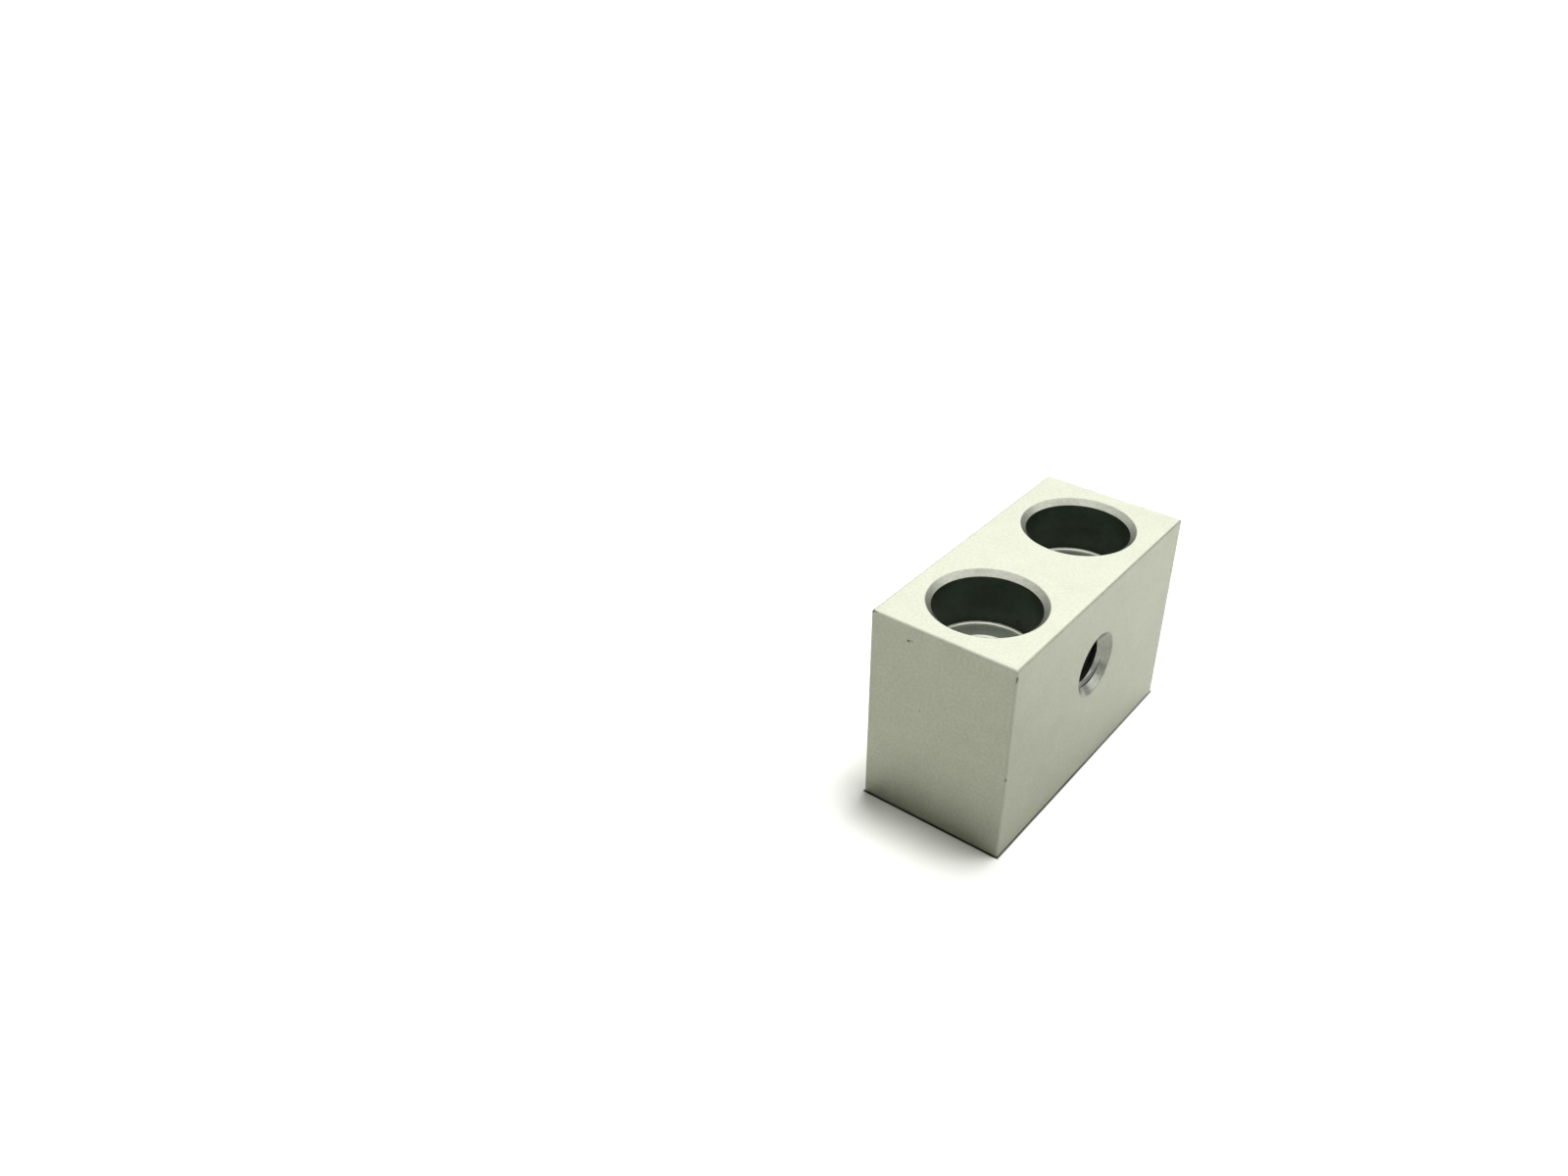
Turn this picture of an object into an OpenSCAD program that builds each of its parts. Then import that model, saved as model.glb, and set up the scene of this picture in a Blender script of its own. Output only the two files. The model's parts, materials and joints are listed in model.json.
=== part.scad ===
// Machined aluminium mounting block.
// Two counterbored screw holes go down through it, and a tapped hole crosses
// it from side to side between them. The block stands on its flat underside,
// centred on the origin, with its length along Y and its height along Z.

/* [Block] */
// Width, along X
block_w = 14; // [12:0.5:24]
// Length, along Y
block_l = 30; // [27:0.5:60]
// Height, along Z
block_h = 20; // [16:0.5:40]
// Width of the 45 degree break on each outer edge
edge_break = 0.2; // [0.05:0.05:0.5]

/* [Screw holes] */
// Distance between the centres of the two screw holes
screw_pitch = 16; // [13:0.5:18]
// Diameter of the clearance hole for the screw's shank
shank_d = 5.5; // [4.2:0.1:6.6]
// Diameter of the counterbore for the screw's head
head_d = 9.5; // [8:0.1:11]
// Depth of the counterbore, from the top face to the seat
head_depth = 5.4; // [4:0.1:6.5]
// Width of the 45 degree chamfer round the counterbore's mouth
mouth_chamfer = 0.5; // [0.1:0.05:0.8]
// Radius of the fillet between the counterbore's wall and its seat
seat_fillet = 0.2; // [0.05:0.05:0.5]
// Width of the 45 degree break round the shank hole, at the seat and the underside
shank_break = 0.15; // [0.05:0.05:0.4]

/* [Side thread] */
// Nominal diameter of the thread
thread_d = 5; // [4:0.5:6]
// Pitch of the thread
thread_pitch = 0.8; // [0.5:0.05:1]
// Height of the thread's axis above the underside
thread_z = 12; // [6:0.25:14]
// Countersink at each mouth of the thread, measured out past the nominal diameter
thread_relief = 0.6; // [0:0.05:0.9]

/* [Hidden] */

// Segments round each bore, and round a quarter turn of a fillet
bore_fn = 96;
fillet_steps = 6;
// How far the cutters run past the faces that they cut
past = 1;

screw_ys = [-screw_pitch / 2, screw_pitch / 2];
seat_z = block_h - head_depth;
tap_drill_d = thread_d - thread_pitch;
countersink_d = thread_d + 2 * thread_relief;
countersink_depth = (countersink_d - tap_drill_d) / 2;

// A rectangle centred on the origin, with its corners cut off at 45 degrees
module broken_rectangle(w, l, b) {
    polygon([
        [b - w / 2, -l / 2], [w / 2 - b, -l / 2], [w / 2, b - l / 2], [w / 2, l / 2 - b],
        [w / 2 - b, l / 2], [b - w / 2, l / 2], [-w / 2, l / 2 - b], [-w / 2, b - l / 2]
    ]);
}

// The sawn and milled stock: one bar along each axis, whose common part has
// all twelve edges broken
module stock() {
    translate([0, 0, block_h / 2]) intersection() {
        linear_extrude(block_h, center = true)
            broken_rectangle(block_w, block_l, edge_break);
        rotate([90, 0, 0]) linear_extrude(block_l, center = true)
            broken_rectangle(block_w, block_h, edge_break);
        rotate([90, 0, 90]) linear_extrude(block_w, center = true)
            broken_rectangle(block_l, block_h, edge_break);
    }
}

// Points of the quarter turn that rounds the counterbore's inner corner
function seat_corner() = [
    for (i = [0 : fillet_steps])
        let (a = i * 90 / fillet_steps)
            [head_d / 2 - seat_fillet * (1 - sin(a)), seat_z + seat_fillet * (1 - cos(a))]
];

// Everything that the drill, the counterbore and the chamfer tool take out of
// one screw hole, turned about the hole's own axis
module screw_hole() {
    shank_r = shank_d / 2;
    head_r = head_d / 2;
    rotate_extrude($fn = bore_fn)
        polygon(concat(
            [
                [0, -past], [shank_r + shank_break + past, -past],
                [shank_r + shank_break, 0], [shank_r, shank_break],
                [shank_r, seat_z - shank_break], [shank_r + shank_break, seat_z]
            ],
            seat_corner(),
            [
                [head_r, block_h - mouth_chamfer],
                [head_r + mouth_chamfer + past, block_h + past],
                [0, block_h + past]
            ]
        ));
}

// The tapping drill's hole right through the width, countersunk at both mouths
module thread_hole() {
    run = block_w / 2 + past;
    translate([0, 0, thread_z]) rotate([0, 90, 0]) {
        cylinder(d = tap_drill_d, h = 2 * run, center = true, $fn = bore_fn);
        for (side = [0, 1]) mirror([0, 0, side])
            translate([0, 0, block_w / 2 - countersink_depth])
                cylinder(
                    d1 = tap_drill_d,
                    d2 = countersink_d + 2 * past,
                    h = countersink_depth + past,
                    $fn = bore_fn
                );
    }
}

module block() {
    color([0.78, 0.79, 0.74])
    difference() {
        stock();
        for (y = screw_ys) translate([0, y, 0]) screw_hole();
        thread_hole();
    }
}

block();
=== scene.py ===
# A machined aluminium mounting block, standing on a white studio floor.
import json
import math
import bpy
from mathutils import Matrix, Vector


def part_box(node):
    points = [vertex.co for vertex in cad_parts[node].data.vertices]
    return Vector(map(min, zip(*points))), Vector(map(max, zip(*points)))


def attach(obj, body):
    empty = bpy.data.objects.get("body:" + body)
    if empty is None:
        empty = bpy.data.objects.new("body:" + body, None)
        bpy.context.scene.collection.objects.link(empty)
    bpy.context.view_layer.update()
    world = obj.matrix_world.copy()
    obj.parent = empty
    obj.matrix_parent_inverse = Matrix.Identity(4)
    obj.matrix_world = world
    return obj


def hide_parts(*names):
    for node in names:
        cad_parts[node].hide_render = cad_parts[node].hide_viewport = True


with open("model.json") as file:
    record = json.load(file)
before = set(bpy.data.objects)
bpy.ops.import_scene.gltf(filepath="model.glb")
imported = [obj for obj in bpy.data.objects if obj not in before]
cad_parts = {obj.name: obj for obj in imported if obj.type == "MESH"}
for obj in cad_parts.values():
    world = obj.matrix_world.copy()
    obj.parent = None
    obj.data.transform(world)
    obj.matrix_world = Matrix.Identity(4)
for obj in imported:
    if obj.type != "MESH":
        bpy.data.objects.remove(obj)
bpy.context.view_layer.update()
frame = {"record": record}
boxLow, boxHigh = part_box("block")
mounts = {mount["name"]: mount for mount in frame["record"]["mounts"]}
mm = 0.001
microns = 1000  # in a millimetre
mergeDistance = 1e-7
holeY = mounts["head_seat_back"]["pos_m"][1]
threadZ = mounts["side_thread"]["pos_m"][2]
print("frame loaded, block of", [round(side / mm, 2) for side in boxHigh - boxLow], "mm")


# helpers for modelling

def pick(piece):
    bpy.ops.object.select_all(action="DESELECT")
    piece.select_set(True)
    bpy.context.view_layer.objects.active = piece


def editAll(piece):
    pick(piece)
    bpy.ops.object.mode_set(mode="EDIT")
    bpy.ops.mesh.select_mode(type="VERT")
    bpy.ops.mesh.select_all(action="SELECT")


def drawProfile(name, points):
    # one vertex, extruded from point to point in the XZ plane
    bpy.ops.object.select_all(action="DESELECT")
    bpy.ops.mesh.primitive_plane_add(size=mm, location=(0, 0, 0))
    profile = bpy.context.object
    profile.name = name
    editAll(profile)
    bpy.ops.mesh.merge(type="CENTER")
    bpy.ops.transform.translate(value=(points[0][0], 0, points[0][1]))
    for here, there in zip(points, points[1:]):
        step = (there[0] - here[0], 0, there[1] - here[1])
        bpy.ops.mesh.extrude_region_move(TRANSFORM_OT_translate={"value": step})
    bpy.ops.object.mode_set(mode="OBJECT")
    return profile


def closeShell(piece):
    # doubles merged, then the faces turned outwards
    editAll(piece)
    bpy.ops.mesh.remove_doubles(threshold=mergeDistance)
    bpy.ops.mesh.normals_make_consistent(inside=False)
    bpy.ops.object.mode_set(mode="OBJECT")


def spinProfile(name, points, steps, axis):
    # a closed body turned about an axis through the origin
    piece = drawProfile(name, points)
    editAll(piece)
    bpy.ops.mesh.spin(steps=steps, angle=2 * math.pi, center=(0, 0, 0), axis=axis)
    bpy.ops.object.mode_set(mode="OBJECT")
    closeShell(piece)
    return piece


def paintFaces(piece, materials, choose=lambda face: 0):
    # choose(face) gives the place in materials of the one that a face takes
    for material in materials:
        piece.data.materials.append(material)
    for face in piece.data.polygons:
        face.material_index = choose(face)


def applyModifier(piece, kind, **settings):
    pick(piece)
    bpy.ops.object.modifier_add(type=kind)
    modifier = piece.modifiers[-1]
    for key, value in settings.items():
        setattr(modifier, key, value)
    bpy.ops.object.modifier_apply(modifier=modifier.name)


def cutAway(piece, cutter):
    applyModifier(piece, "BOOLEAN", operation="DIFFERENCE", solver="EXACT",
                  object=cutter, material_mode="TRANSFER")
    bpy.data.objects.remove(cutter)


lip = {
    "radius": 0.18 * mm,
    "steps": 5,
    "firstSlope": math.radians(45),  # the chamfer's own
    "lastSlope": math.radians(6),
    "past": 0.05 * mm,
}


def softLip(mouth):
    # a chamfer's mouth rounded into the face: how far out of the face, and the radius there
    size, first, last = lip["radius"], lip["firstSlope"], lip["lastSlope"]
    reach = mouth + size * math.tan(first / 2)
    points = []
    for step in range(lip["steps"] + 1):
        slope = first + (last - first) * step / lip["steps"]
        points.append((size * (math.cos(slope) - 1), reach - size * math.sin(slope)))
    out, radius = points[-1]
    points.append((lip["past"], radius + (lip["past"] - out) / math.tan(last)))
    return points


# helpers for node trees

def emptyTree(owner):
    owner.use_nodes = True
    owner.node_tree.nodes.clear()
    return owner.node_tree.nodes, owner.node_tree.links


def combine(nodes, links, operation, *values):
    node = nodes.new("ShaderNodeMath")
    node.operation = operation
    for socket, value in zip(node.inputs, values):
        if isinstance(value, (int, float)):
            socket.default_value = value
        else:
            links.new(value, socket)
    return node.outputs["Value"]


def remap(nodes, links, value, low, high, toLow, toHigh):
    node = nodes.new("ShaderNodeMapRange")
    settings = {"From Min": low, "From Max": high, "To Min": toLow, "To Max": toHigh}
    for name, setting in settings.items():
        node.inputs[name].default_value = setting
    links.new(value, node.inputs["Value"])
    return node.outputs["Result"]


def noise(nodes, links, vector, scale, detail=3.0, rough=0.55):
    node = nodes.new("ShaderNodeTexNoise")
    settings = {"Scale": scale, "Detail": detail, "Roughness": rough}
    for name, setting in settings.items():
        node.inputs[name].default_value = setting
    links.new(vector, node.inputs["Vector"])
    return node.outputs["Fac"]


def vectorStep(nodes, links, operation, vector):
    node = nodes.new("ShaderNodeVectorMath")
    node.operation = operation
    links.new(vector, node.inputs["Vector"])
    return node


def distanceTo(nodes, links, vector, centre):
    node = vectorStep(nodes, links, "DISTANCE", vector)
    node.inputs[1].default_value = (*centre, 0)
    return node.outputs["Value"]


def dimmedBy(nodes, links, colour, share):
    node = vectorStep(nodes, links, "SCALE", colour)
    links.new(share, node.inputs["Scale"])
    return node.outputs["Vector"]


def splitAxes(nodes, links, vector):
    node = nodes.new("ShaderNodeSeparateXYZ")
    links.new(vector, node.inputs[0])
    return node.outputs


def raysSeen(nodes, links):
    # the camera's own rays, and those that metal or glass sends on
    rays = nodes.new("ShaderNodeLightPath").outputs
    shiny = combine(nodes, links, "MAXIMUM", rays["Is Glossy Ray"], rays["Is Transmission Ray"])
    return rays["Is Camera Ray"], shiny


def blend(nodes, links, factor, first, second):
    node = nodes.new("ShaderNodeMix")
    node.data_type = "RGBA"
    links.new(factor, node.inputs["Factor"])
    for socket, value in ((node.inputs["A"], first), (node.inputs["B"], second)):
        if isinstance(value, tuple):
            socket.default_value = (*value, 1)
        else:
            links.new(value, socket)
    return node.outputs["Result"]


def inMillimetres(nodes, links, scale=(1, 1, 1)):
    # object coordinates, in millimetres, stretched by scale
    place = nodes.new("ShaderNodeTexCoord")
    mapping = nodes.new("ShaderNodeMapping")
    mapping.inputs["Scale"].default_value = [stretch / mm for stretch in scale]
    links.new(place.outputs["Object"], mapping.inputs["Vector"])
    return mapping.outputs["Vector"]


def aroundHole(nodes, links, axis):
    # the way out from the axis of the screw holes (Z) or the tapped hole (X), and along it
    place = splitAxes(nodes, links, inMillimetres(nodes, links))
    if axis == "Z":
        across = place["X"]
        away = combine(nodes, links, "ABSOLUTE", place["Y"])
        away = combine(nodes, links, "SUBTRACT", away, holeY / mm)
    else:
        across = place["Y"]
        away = combine(nodes, links, "SUBTRACT", place["Z"], threadZ / mm)
    flat = nodes.new("ShaderNodeCombineXYZ")
    links.new(across, flat.inputs["X"])
    links.new(away, flat.inputs["Y"])
    return flat.outputs[0], place[axis]


# finishes of the metal: colours are linear, grain is per millimetre, height in millimetres;
# paintedShade gives two heights above the floor in millimetres, and the share of colour at the
# lower: painted shade that darkens the colour towards the foot

finishes = {
    "satinTop": {"dark": (0.387, 0.400, 0.322), "light": (0.467, 0.481, 0.393),
                 "rough": (0.36, 0.44), "grain": 3.4, "cloud": 0.20, "height": 0.0050},
    "satinFace": {"dark": (0.382, 0.394, 0.317), "light": (0.455, 0.468, 0.382),
                  "rough": (0.35, 0.43), "grain": 3.4, "cloud": 0.25, "height": 0.0050},
    "satinEnd": {"dark": (0.393, 0.405, 0.324), "light": (0.476, 0.489, 0.397),
                 "rough": (0.35, 0.43), "grain": 3.4, "cloud": 0.25, "height": 0.0050},
    # painted shade: the broken edges darken below 0.24 mm, for the contact shade at the block's
    # foot
    "brokenEdgeFootShade": {"dark": (0.375, 0.382, 0.314), "light": (0.445, 0.451, 0.377),
                   "rough": (0.42, 0.50), "grain": 5.0, "cloud": 0.25, "height": 0.0030,
                   "paintedShade": (0.04, 0.24, 0.30)},
    # painted shade: the bore wall is coloured dark, and darker still towards the seat, for the
    # shade deep in the counterbore
    "paintedShadeBoreWall": {"dark": (0.105, 0.138, 0.106), "light": (0.138, 0.176, 0.137),
                  "rough": (0.40, 0.50), "grain": 5.0, "cloud": 0.50, "height": 0.0020,
                  "paintedShade": (14.7, 17.4, 0.20)},
    # painted light: the seat is coloured lighter than the other metal, in place of the top lamp's
    # light, which the metal does not mirror
    "boredSeatPaintedLight": {"dark": (0.60, 0.62, 0.54), "light": (0.74, 0.76, 0.67),
                  "rough": (0.42, 0.52), "grain": 5.0, "cloud": 0.50, "height": 0.0030},
    "cutChamfer": {"dark": (0.315, 0.325, 0.273), "light": (0.435, 0.441, 0.374),
                   "rough": (0.36, 0.46), "grain": 4.0, "cloud": 0.35, "height": 0.0030},
    # painted shade: the countersink cone is coloured darker than the faces, for the shade that
    # falls on it
    "cutConePaintedShade": {"dark": (0.265, 0.278, 0.240), "light": (0.370, 0.382, 0.334),
                "rough": (0.27, 0.35), "grain": 4.0, "cloud": 0.35, "height": 0.0030},
    # painted shade: the tapped wall is coloured dark, for the shade deep in the hole
    "paintedShadeTappedWall": {"dark": (0.17, 0.178, 0.162), "light": (0.27, 0.280, 0.258),
                   "rough": (0.28, 0.40), "grain": 6.0, "cloud": 0.50, "height": 0.0018},
    "darkScuff": {"dark": (0.030, 0.034, 0.028), "light": (0.060, 0.066, 0.055),
                  "rough": (0.50, 0.60), "grain": 8.0, "cloud": 0.50, "height": 0.0020},
    "wornMark": {"dark": (0.170, 0.174, 0.146), "light": (0.250, 0.255, 0.216),
                 "rough": (0.42, 0.52), "grain": 8.0, "cloud": 0.50, "height": 0.0030},
}
# fine grain and broad clouds, mixed by each finish's share of cloud
mottle = {
    "grainDetail": 4,
    "grainRough": 0.6,
    "cloudScale": 0.4,  # per millimetre
    "cloudDetail": 3,
    "shadeSpan": (0.38, 0.62),
    "roughSpan": (0.3, 0.7),
}


def makeFinish(name, addMarks):
    # addMarks(nodes, links) gives the height of the tool marks, in microns
    settings = finishes[name]
    material = bpy.data.materials.new(name)
    nodes, links = emptyTree(material)
    output = nodes.new("ShaderNodeOutputMaterial")
    shader = nodes.new("ShaderNodeBsdfPrincipled")
    shader.inputs["Metallic"].default_value = 1.0
    links.new(shader.outputs["BSDF"], output.inputs["Surface"])
    plain = inMillimetres(nodes, links)
    grain = noise(nodes, links, plain, settings["grain"],
                  mottle["grainDetail"], mottle["grainRough"])
    cloud = noise(nodes, links, plain, mottle["cloudScale"], mottle["cloudDetail"])
    shade = combine(nodes, links, "ADD",
                    combine(nodes, links, "MULTIPLY", grain, 1 - settings["cloud"]),
                    combine(nodes, links, "MULTIPLY", cloud, settings["cloud"]))
    shade = remap(nodes, links, shade, *mottle["shadeSpan"], 0, 1)
    colour = blend(nodes, links, shade, settings["dark"], settings["light"])
    # painted shade: the colour darkens below the given heights, towards the floor
    if "paintedShade" in settings:
        low, high, share = settings["paintedShade"]
        level = splitAxes(nodes, links, plain)["Z"]
        colour = dimmedBy(nodes, links, colour, remap(nodes, links, level, low, high, share, 1))
    links.new(colour, shader.inputs["Base Color"])
    rough = remap(nodes, links, grain, *mottle["roughSpan"], *settings["rough"])
    links.new(rough, shader.inputs["Roughness"])
    height = combine(nodes, links, "MULTIPLY", grain, settings["height"] * microns)
    height = combine(nodes, links, "ADD", height, addMarks(nodes, links))
    bump = nodes.new("ShaderNodeBump")
    bump.inputs["Distance"].default_value = mm / microns
    links.new(height, bump.inputs["Height"])
    links.new(bump.outputs["Normal"], shader.inputs["Normal"])
    return material


def millingLines(scale, height):
    # long faint lines left by the cutter, stretched along the way it went
    def addMarks(nodes, links):
        lines = noise(nodes, links, inMillimetres(nodes, links, scale), scale=1)
        return combine(nodes, links, "MULTIPLY", lines, height)
    return addMarks


def markAlong(nodes, links, run, perMillimetre, height):
    # marks that change only with run
    join = nodes.new("ShaderNodeCombineXYZ")
    links.new(combine(nodes, links, "MULTIPLY", run, perMillimetre), join.inputs["X"])
    marks = noise(nodes, links, join.outputs[0], scale=1, detail=2)
    return combine(nodes, links, "MULTIPLY", marks, height)


def millingArcs(centre, perMillimetre, height):
    # arcs that a wide face cutter leaves, about a centre beside the block
    def addMarks(nodes, links):
        flat = inMillimetres(nodes, links, (1, 1, 0))
        run = distanceTo(nodes, links, flat, centre)
        return markAlong(nodes, links, run, perMillimetre, height)
    return addMarks


def feedRings(axis, perMillimetre, height):
    # rings round a hole: along its wall, and across its seat
    def addMarks(nodes, links):
        out, along = aroundHole(nodes, links, axis)
        radius = vectorStep(nodes, links, "LENGTH", out).outputs["Value"]
        run = combine(nodes, links, "ADD", radius, along)
        return markAlong(nodes, links, run, perMillimetre, height)
    return addMarks


def chatter(axis, perTurn, height):
    # short marks across a chamfer, where the countersink shook
    def addMarks(nodes, links):
        out = aroundHole(nodes, links, axis)[0]
        turn = vectorStep(nodes, links, "NORMALIZE", out).outputs["Vector"]
        marks = noise(nodes, links, turn, perTurn / (2 * math.pi), detail=2)
        return combine(nodes, links, "MULTIPLY", marks, height)
    return addMarks


# tool marks: centre in millimetres, scale in marks per millimetre along X, Y and Z,
# height in microns

toolMarks = {
    "top": {"centre": (-25.0, 31.0), "perMillimetre": 3.0, "height": 2.6},
    "side": {"scale": (4.0, 0.10, 4.0), "height": 2.2},
    "end": {"scale": (0.10, 4.0, 4.0), "height": 2.2},
    "edge": {"scale": (3.0, 3.0, 3.0), "height": 1.0},
    "worn": {"scale": (4.0, 4.0, 4.0), "height": 1.0},
    "wall": {"axis": "Z", "perMillimetre": 9.0, "height": 3.0},
    "seat": {"axis": "Z", "perMillimetre": 9.0, "height": 5.0},
    "thread": {"axis": "X", "perMillimetre": 12.0, "height": 1.5},
    "mouth": {"axis": "Z", "perTurn": 130, "height": 9.0},
    "cone": {"axis": "X", "perTurn": 90, "height": 4.0},
}

topFinish = makeFinish("satinTop", millingArcs(**toolMarks["top"]))
faceFinish = makeFinish("satinFace", millingLines(**toolMarks["side"]))
endFinish = makeFinish("satinEnd", millingLines(**toolMarks["end"]))
edgeFootShadeFinish = makeFinish("brokenEdgeFootShade", millingLines(**toolMarks["edge"]))
boreShadeFinish = makeFinish("paintedShadeBoreWall", feedRings(**toolMarks["wall"]))
seatLightFinish = makeFinish("boredSeatPaintedLight", feedRings(**toolMarks["seat"]))
mouthFinish = makeFinish("cutChamfer", chatter(**toolMarks["mouth"]))
coneShadeFinish = makeFinish("cutConePaintedShade", chatter(**toolMarks["cone"]))
threadShadeFinish = makeFinish("paintedShadeTappedWall", feedRings(**toolMarks["thread"]))
scuffFinish = makeFinish("darkScuff", millingLines(**toolMarks["worn"]))
markFinish = makeFinish("wornMark", millingLines(**toolMarks["worn"]))
print("finishes made")


# the stock, with its edges broken

stock = {
    "edgeBreak": 0.2 * mm,
    "edgeSteps": 4,
    "facing": 0.9,  # least part of a face's normal along the axis that it faces
}


def makeStock():
    bpy.ops.object.select_all(action="DESELECT")
    bpy.ops.mesh.primitive_cube_add(size=1, location=(boxLow + boxHigh) / 2,
                                    scale=boxHigh - boxLow)
    block = bpy.context.object
    block.name = "machinedBlock"
    bpy.ops.object.transform_apply(location=True, rotation=True, scale=True)

    materials = (faceFinish, endFinish, topFinish, edgeFootShadeFinish)

    def choose(face):
        if face.normal.z > stock["facing"]:
            return materials.index(topFinish)
        return materials.index(endFinish if abs(face.normal.y) > stock["facing"] else faceFinish)
    paintFaces(block, materials, choose)
    applyModifier(block, "BEVEL", width=stock["edgeBreak"], segments=stock["edgeSteps"],
                  limit_method="NONE", material=materials.index(edgeFootShadeFinish))
    return block


block = makeStock()
print("stock made")


# the counterbored screw holes

screwHole = {
    "headDepth": 5.4 * mm,
    "mouthChamfer": 0.5 * mm,
    "seatFillet": 0.2 * mm,
    "filletSteps": 5,
    "shankBreak": 0.15 * mm,
    "past": 1.0 * mm,  # how far the cutter runs past the faces
    "steps": 144,
}


def makeScrewCutter(seatName, shankName):
    head, shank = (mounts[name]["dims"]["r_mm"] * mm for name in (seatName, shankName))
    past, edge, fillet = screwHole["past"], screwHole["shankBreak"], screwHole["seatFillet"]
    chamfer, top, foot = screwHole["mouthChamfer"], boxHigh.z, boxLow.z
    seat = top - screwHole["headDepth"]
    points = [(0, foot - past), (shank + edge + past, foot - past), (shank, foot + edge),
              (shank, seat - edge), (shank + edge, seat)]
    for step in range(screwHole["filletSteps"] + 1):
        turn = math.pi / 2 * step / screwHole["filletSteps"]
        points.append((head - fillet * (1 - math.sin(turn)),
                       seat + fillet * (1 - math.cos(turn))))
    points.append((head, top - chamfer))
    points += [(radius, top + out) for out, radius in softLip(head + chamfer)]
    points += [(points[-1][0], top + past), (0, top + past)]
    cutter = spinProfile("screwCutter", points, screwHole["steps"], (0, 0, 1))
    materials = (mouthFinish, seatLightFinish, boreShadeFinish)

    def choose(face):
        if face.center.z > top - chamfer or face.center.z < foot + edge:
            return materials.index(mouthFinish)
        onSeat = seat - edge < face.center.z < seat + fillet
        return materials.index(seatLightFinish if onSeat else boreShadeFinish)
    paintFaces(cutter, materials, choose)
    cutter.location = (0, mounts[seatName]["pos_m"][1], 0)
    return cutter


cutAway(block, makeScrewCutter("head_seat_front", "shank_hole_front"))
cutAway(block, makeScrewCutter("head_seat_back", "shank_hole_back"))
print("screw holes cut")


# the tapped hole across the width

sideThread = {
    "pitch": 0.8 * mm,
    "depth": 0.4 * mm,
    "rootFlat": 0.1 * mm,
    "flankAngle": math.radians(30),
    "start": -0.23 * mm,
    "spareTurns": 4,  # past the faces, in all
    "mouth": 3.1 * mm,  # radius of the countersink at the face
    "coneInner": 1.9 * mm,
    "past": 1.0 * mm,
    "steps": 72,
    "coneSteps": 144,
}


def makeThreadCutter():
    pitch, depth = sideThread["pitch"], sideThread["depth"]
    crest = mounts["side_thread"]["dims"]["r_mm"] * mm
    flank = depth * math.tan(sideThread["flankAngle"])
    crestFlat = pitch - sideThread["rootFlat"] - 2 * flank
    turns = math.ceil((boxHigh.x - boxLow.x) / pitch) + sideThread["spareTurns"]
    first = sideThread["start"] - turns * pitch / 2
    root = crest + depth
    points = [(first, crest), (first + crestFlat, crest), (first + crestFlat + flank, root),
              (first + pitch - flank, root), (first + pitch, crest)]
    cutter = drawProfile("threadCutter", points)
    applyModifier(cutter, "SCREW", axis="X", angle=2 * math.pi, screw_offset=pitch,
                  iterations=turns, steps=sideThread["steps"], render_steps=sideThread["steps"])
    editAll(cutter)
    bpy.ops.mesh.remove_doubles(threshold=mergeDistance)
    bpy.ops.mesh.select_all(action="DESELECT")
    bpy.ops.mesh.select_non_manifold()
    bpy.ops.mesh.fill_holes(sides=0)
    bpy.ops.object.mode_set(mode="OBJECT")
    closeShell(cutter)
    paintFaces(cutter, (threadShadeFinish,))
    cutter.location = (0, 0, threadZ)
    return cutter


def makeCountersink(side):
    face = boxHigh.x if side > 0 else boxLow.x
    inner, past = sideThread["coneInner"], sideThread["past"]
    deep = inner - sideThread["mouth"]
    outline = [(deep, 0), (deep, inner)] + softLip(sideThread["mouth"])
    outline += [(past, outline[-1][1]), (past, 0)]
    points = [(face + side * out, radius) for out, radius in outline]
    cutter = spinProfile("countersinkCutter", points, sideThread["coneSteps"], (1, 0, 0))
    paintFaces(cutter, (coneShadeFinish,))
    cutter.location = (0, 0, threadZ)
    return cutter


cutAway(block, makeThreadCutter())
for side in (1, -1):
    cutAway(block, makeCountersink(side))
print("tapped hole cut")


# marks of use: place and size of each small chip in millimetres, and its turn in degrees

chipShape = {"subdivisions": 3, "unevenness": 0.25}
scuffs = [
    ((0.25, -3.27, 16.6), (0.10, 0.05, 0.10), 0),
    ((0.60, -3.30, 15.7), (0.30, 0.05, 0.10), 0),
    ((0.95, -3.36, 15.5), (0.16, 0.05, 0.07), 15),
    ((-2.15, -3.77, 14.9), (0.07, 0.06, 0.16), 0),
]
chips = [
    ((-3.21, -15.02, 18.47), (0.16, 0.10, 0.12), 20),
    ((-2.95, -15.02, 18.60), (0.24, 0.06, 0.045), -8),
    ((-1.69, -15.02, 11.89), (0.08, 0.06, 0.08), 0),
    ((7.0, -15.0, 8.8), (0.14, 0.14, 0.22), 10),
    ((7.02, -15.02, 19.1), (0.17, 0.17, 0.42), 0),
    ((-7.05, -15.05, 20.05), (0.42, 0.30, 0.32), 25),
    ((-6.55, -15.10, 20.06), (0.34, 0.26, 0.20), -10),
    ((-6.10, -15.10, 20.06), (0.26, 0.22, 0.14), 5),
    ((7.05, 15.05, 20.05), (0.30, 0.36, 0.26), 40),
]


def makeChip(place, size, turn, seed, finish):
    bpy.ops.object.select_all(action="DESELECT")
    bpy.ops.mesh.primitive_ico_sphere_add(subdivisions=chipShape["subdivisions"], radius=1,
                                          location=Vector(place) * mm, scale=Vector(size) * mm,
                                          rotation=(0, math.radians(turn), 0))
    cutter = bpy.context.object
    bpy.ops.object.transform_apply(location=True, rotation=True, scale=True)
    editAll(cutter)
    bpy.ops.transform.vertex_random(offset=chipShape["unevenness"] * min(size) * mm, seed=seed)
    bpy.ops.object.mode_set(mode="OBJECT")
    paintFaces(cutter, (finish,))
    return cutter


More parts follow.
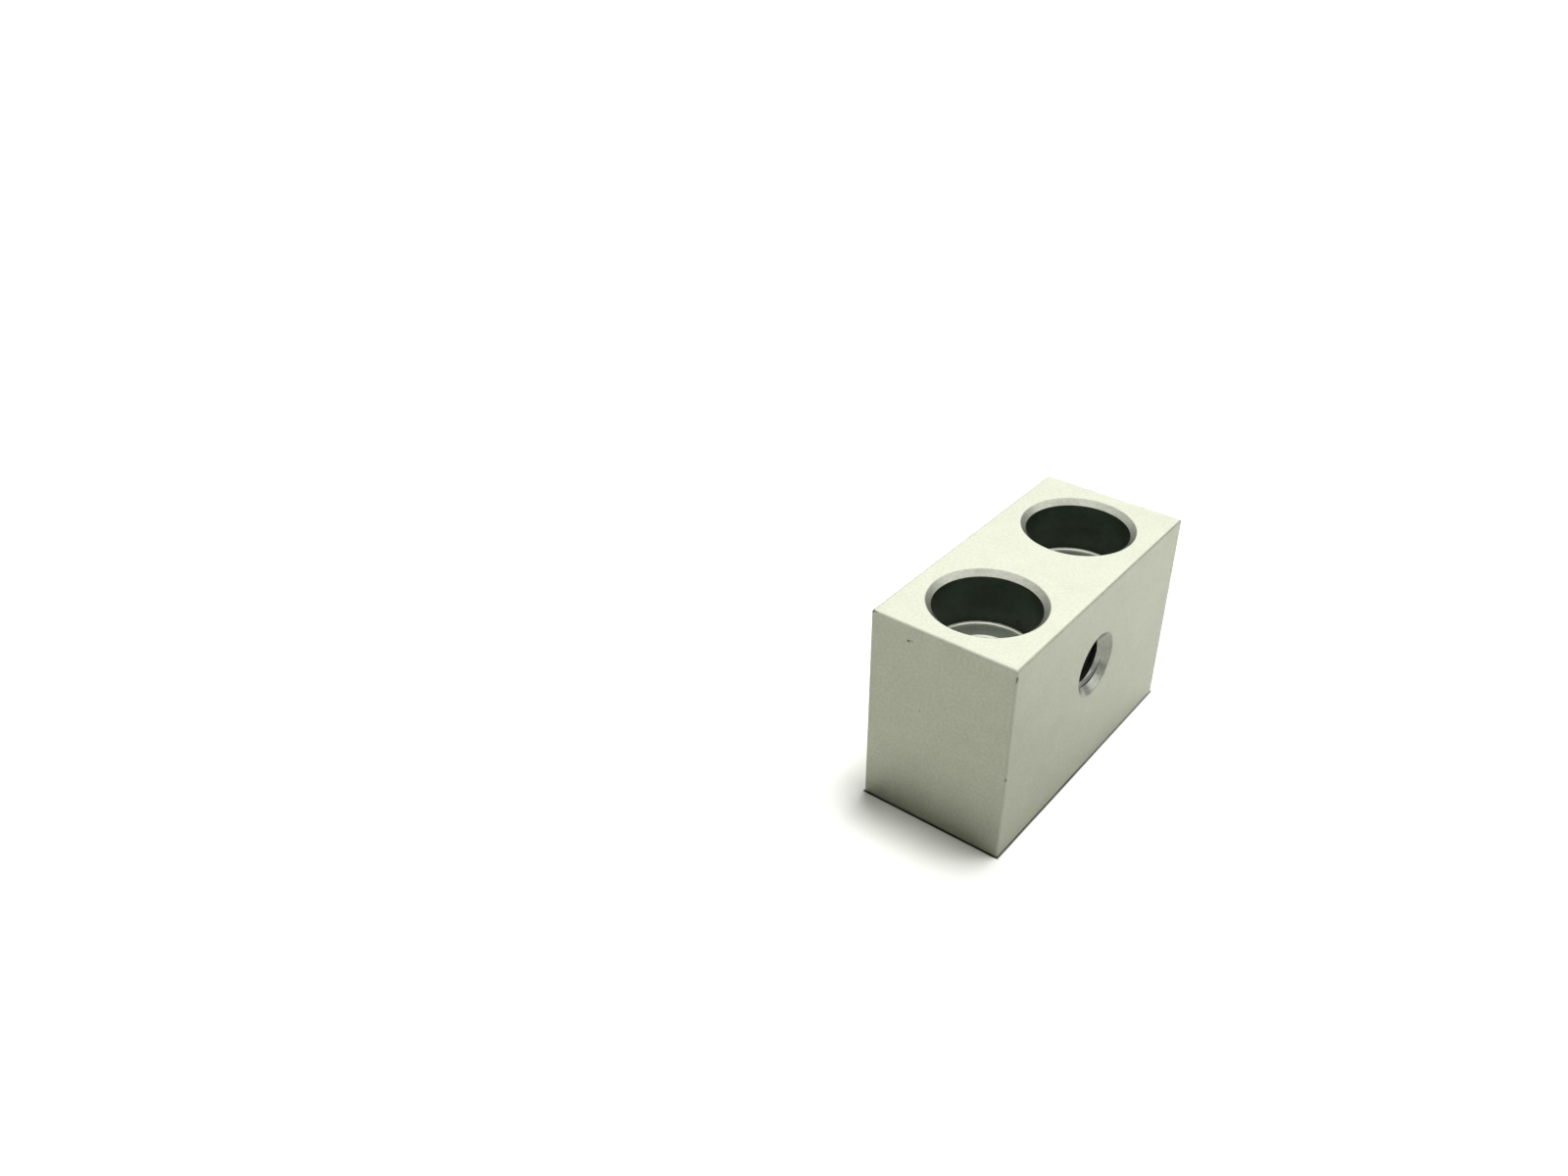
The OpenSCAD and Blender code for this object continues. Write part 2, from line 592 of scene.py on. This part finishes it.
for marks, finish in ((scuffs, scuffFinish), (chips, markFinish)):
    for seed, (place, size, turn) in enumerate(marks):
        cutAway(block, makeChip(place, size, turn, seed, finish))
print("marks of use cut")


sharpAngle = math.radians(32)


def finishMesh(piece):
    closeShell(piece)
    pick(piece)
    bpy.ops.object.shade_smooth_by_angle(angle=sharpAngle)
    applyModifier(piece, "WEIGHTED_NORMAL", keep_sharp=True, mode="FACE_AREA_WITH_ANGLE")
    bpy.ops.object.transform_apply(location=True, rotation=True, scale=True)


finishMesh(block)
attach(block, "root")
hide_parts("block")
print("block finished,", len(block.data.polygons), "faces")


# floor, lamps, world and camera

studio = {
    "floorSize": 12.0,
    "floorWhite": (0.98, 0.985, 0.94),  # to the camera
    "floorShade": (0.58, 0.583, 0.555),  # to all else
    "metalShare": 0.15,  # how much of that white the metal sees
    "paintedContactShadow": (0.03 * mm, 0.15 * mm, 0.12),  # painted contact shadow, a dark line round the foot: from, to, share of white
    "glowColour": (1, 1, 0.97),
    "glowCentre": (-0.002, -0.028),  # from here the floor's glow grows: painted light that no lamp casts
    "nearGlow": (0.028, 0.055, 0.3),  # from, to, strength
    "farGlow": (0.055, 0.5, 0.7),
    "ambient": 0.01,
    "horizonGlow": 0.40,
    "zenithGlow": 1.55,
    "domeFrom": 0.15,
    "domeTo": 0.75,
}

# each lamp: place, width, height, radiance, and whether the metal mirrors it: the top one
# is for the floor and its shadow, because the dome lights the metal from above
softboxes = {
    "backSoftbox": ((-0.20, 0.42, 0.33), 0.40, 0.30, 1.60, True),
    "topSoftbox": ((0.045, 0.085, 0.60), 0.24, 0.19, 31.08, False),
    "rightSoftbox": ((0.41, 0.22, 0.32), 0.42, 0.34, 0.75, True),
    "frontSoftbox": ((0.02, -0.38, 0.46), 0.50, 0.30, 0.12, True),
}


def makeFloor():
    bpy.ops.object.select_all(action="DESELECT")
    bpy.ops.mesh.primitive_plane_add(size=studio["floorSize"], location=(0, 0, boxLow.z))
    floor = bpy.context.object
    floor.name = "studioFloor"
    material = bpy.data.materials.new("whiteFloor")
    nodes, links = emptyTree(material)
    output = nodes.new("ShaderNodeOutputMaterial")
    diffuse = nodes.new("ShaderNodeBsdfDiffuse")
    glow = nodes.new("ShaderNodeEmission")
    glow.inputs["Color"].default_value = (*studio["glowColour"], 1)
    place = nodes.new("ShaderNodeTexCoord").outputs["Object"]
    # painted light: the floor glows more with distance from glowCentre, nearGlow as a pool that no
    # lamp casts
    distance = distanceTo(nodes, links, place, studio["glowCentre"])
    near, far = (remap(nodes, links, distance, start, end, 0, strength)
                 for start, end, strength in (studio["nearGlow"], studio["farGlow"]))
    grown = combine(nodes, links, "ADD", near, far)
    camera, shiny = raysSeen(nodes, links)
    seen = combine(nodes, links, "MAXIMUM", camera, shiny)
    white = combine(nodes, links, "MULTIPLY", shiny, studio["metalShare"])
    white = combine(nodes, links, "MAXIMUM", camera, white)
    outside, sides = [], splitAxes(nodes, links, place)
    for axis, edge in (("X", boxHigh.x), ("Y", boxHigh.y)):
        away = combine(nodes, links, "ABSOLUTE", sides[axis])
        outside.append(combine(nodes, links, "SUBTRACT", away, edge))
    # painted contact shadow: the floor's colour darkens in a thin line round the block's foot
    start, end, share = studio["paintedContactShadow"]
    foot = remap(nodes, links, combine(nodes, links, "MAXIMUM", *outside), start, end, share, 1)
    ground = blend(nodes, links, white, studio["floorShade"], studio["floorWhite"])
    links.new(dimmedBy(nodes, links, ground, foot), diffuse.inputs["Color"])
    links.new(combine(nodes, links, "MULTIPLY", seen, grown), glow.inputs["Strength"])
    both = nodes.new("ShaderNodeAddShader")
    links.new(diffuse.outputs[0], both.inputs[0])
    links.new(glow.outputs[0], both.inputs[1])
    links.new(both.outputs[0], output.inputs["Surface"])
    floor.data.materials.append(material)


def makeWorld():
    # white to the camera; to the metal, a dome that dims towards the horizon
    world = bpy.data.worlds.new("studioWorld")
    bpy.context.scene.world = world
    nodes, links = emptyTree(world)
    output = nodes.new("ShaderNodeOutputWorld")
    place = nodes.new("ShaderNodeTexCoord")
    upward = splitAxes(nodes, links, place.outputs["Generated"])["Z"]
    dome = remap(nodes, links, upward, studio["domeFrom"], studio["domeTo"],
                 studio["horizonGlow"], studio["zenithGlow"])
    white, shine, soft = (nodes.new("ShaderNodeBackground") for _ in range(3))
    links.new(dome, shine.inputs["Strength"])
    soft.inputs["Strength"].default_value = studio["ambient"]
    for background in (white, shine, soft):
        background.inputs["Color"].default_value = (1, 1, 1, 1)
    camera, shiny = raysSeen(nodes, links)
    metal, whole = nodes.new("ShaderNodeMixShader"), nodes.new("ShaderNodeMixShader")
    for mix, factor, first, second in ((metal, shiny, soft, shine), (whole, camera, metal, white)):
        links.new(factor, mix.inputs["Fac"])
        links.new(first.outputs[0], mix.inputs[1])
        links.new(second.outputs[0], mix.inputs[2])
    links.new(whole.outputs[0], output.inputs["Surface"])


def addSoftbox(name, place, width, height, radiance, mirrored):
    # a rectangular lamp that faces the block
    lamp = bpy.data.lights.new(name, "AREA")
    lamp.shape = "RECTANGLE"
    lamp.size, lamp.size_y = width, height
    lamp.energy = radiance * math.pi * width * height
    holder = bpy.data.objects.new(name, lamp)
    bpy.context.scene.collection.objects.link(holder)
    holder.location = place
    holder.visible_glossy = mirrored
    aim = (boxLow + boxHigh) / 2 - Vector(place)
    holder.rotation_euler = aim.to_track_quat("-Z", "Y").to_euler()


# the camera: lens, sensor, nearest point and place in millimetres, turns in degrees

viewpoint = {
    "lens": 30.49,
    "sensor": 36,
    "nearest": 5,
    "place": (44.51, -91.28, 81.94),
    "heading": 38.566,
    "tilt": 56.932,
    "roll": -0.241,
}


def addCamera():
    camera = bpy.data.cameras.new("camera")
    camera.sensor_width = viewpoint["sensor"]
    camera.lens = viewpoint["lens"]
    camera.clip_start = viewpoint["nearest"] * mm
    holder = bpy.data.objects.new("camera", camera)
    bpy.context.scene.collection.objects.link(holder)
    pose = Matrix.Translation(Vector(viewpoint["place"]) * mm)
    for name, axis in (("heading", "Z"), ("tilt", "X"), ("roll", "Z")):
        pose = pose @ Matrix.Rotation(math.radians(viewpoint[name]), 4, axis)
    holder.matrix_world = pose
    bpy.context.scene.camera = holder


makeFloor()
makeWorld()
for name, softbox in softboxes.items():
    addSoftbox(name, *softbox)
addCamera()
bpy.context.scene.view_settings.view_transform = "Standard"
print("studio ready")
